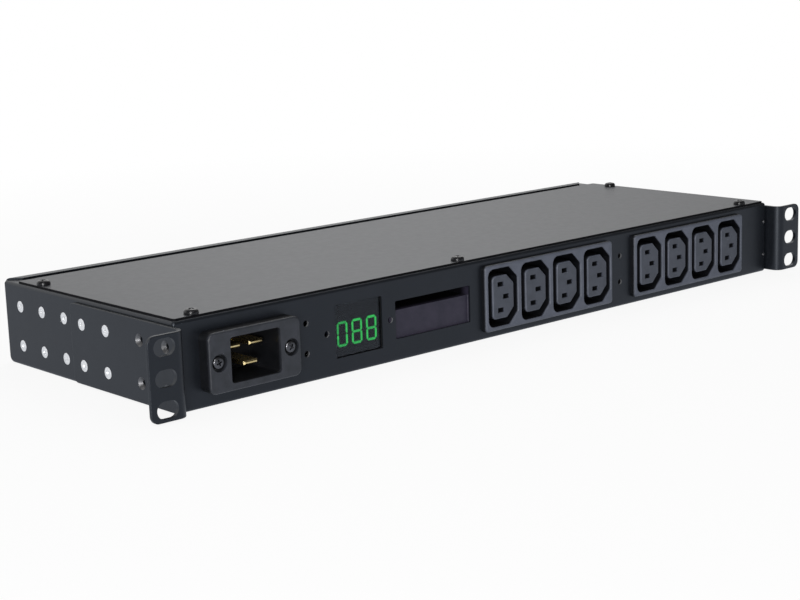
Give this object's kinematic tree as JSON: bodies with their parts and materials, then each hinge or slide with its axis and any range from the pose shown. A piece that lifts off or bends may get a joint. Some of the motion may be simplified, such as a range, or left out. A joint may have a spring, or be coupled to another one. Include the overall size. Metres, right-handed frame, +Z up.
{
  "type": "rack power distribution unit",
  "caption": "Shallow black rack unit with bent ears that takes mains at a bladed inlet and shares it out to a row of shrouded sockets, with a current display and a card bay.",
  "frame": {"origin": "middle of the ears' hole pattern, on the ears' rear face, which bears on the rack's front rails", "axes": "+X to the right seen from the front, +Y from the front towards the back, +Z up"},
  "size_m": [0.4826, 0.164, 0.0465],
  "materials": {
    "powder_coat": "fine black powder coat on steel sheet",
    "zinc_plate": "bright zinc plate",
    "black_screw": "black oxide",
    "inlet_plastic": "moulded, fine satin",
    "outlet_plastic": "moulded, fine satin",
    "bay_plastic": "moulded, satin",
    "brass": "bright plated brass",
    "tinned_copper": "rolled strip",
    "gasket_foam": "matt",
    "window_tint": "clear smoke-tinted sheet",
    "module_plastic": "matt",
    "lit_green": "lit green",
    "unlit_bar": "dark, unlit",
    "board_laminate": "solder-masked glass laminate",
    "black_plastic": "moulded",
    "transformer_blue": "potted plastic shell",
    "capacitor_sleeve": "shrink sleeve",
    "terminal_green": "moulded",
    "brown_lead": "insulated lead",
    "blue_lead": "insulated lead",
    "earth_green_lead": "insulated lead"
  },
  "bodies": {
    "root": {"board_header": "black_plastic", "board_posts": "zinc_plate", "board_screws": "zinc_plate", "card_bay": "bay_plastic", "case": "powder_coat", "corner_rivets": "zinc_plate", "cover_clinch_nuts": "zinc_plate", "cover_screws": "black_screw", "current_transformer": "transformer_blue", "display_board": "board_laminate", "display_gasket": "gasket_foam", "display_module": "module_plastic", "display_window": "window_tint", "ear_screws": "zinc_plate", "earth_bond_lead": "earth_green_lead", "earth_lead": "earth_green_lead", "earth_link": "earth_green_lead", "earth_strip_left": "tinned_copper", "earth_strip_right": "tinned_copper", "earth_stud": "zinc_plate", "earth_stud_nut": "zinc_plate", "filter_capacitor": "capacitor_sleeve", "inlet_earth_blade": "brass", "inlet_housing": "inlet_plastic", "inlet_live_blade": "brass", "inlet_neutral_blade": "brass", "inlet_nuts": "zinc_plate", "inlet_screws": "zinc_plate", "lit_segments": "lit_green", "live_lead": "brown_lead", "live_link": "brown_lead", "live_strip_left": "tinned_copper", "live_strip_right": "tinned_copper", "meter_board": "board_laminate", "meter_live_lead": "brown_lead", "meter_neutral_lead": "blue_lead", "neutral_lead": "blue_lead", "neutral_link": "blue_lead", "neutral_strip_left": "tinned_copper", "neutral_strip_right": "tinned_copper", "outlet_block_left": "outlet_plastic", "outlet_block_right": "outlet_plastic", "power_module": "black_plastic", "rack_ear_left": "powder_coat", "rack_ear_right": "powder_coat", "side_clinch_nuts": "zinc_plate", "spare_ear_screws": "zinc_plate", "terminal_block": "terminal_green", "top_cover": "powder_coat", "unlit_segment": "unlit_bar"}
  },
  "joints": []
}
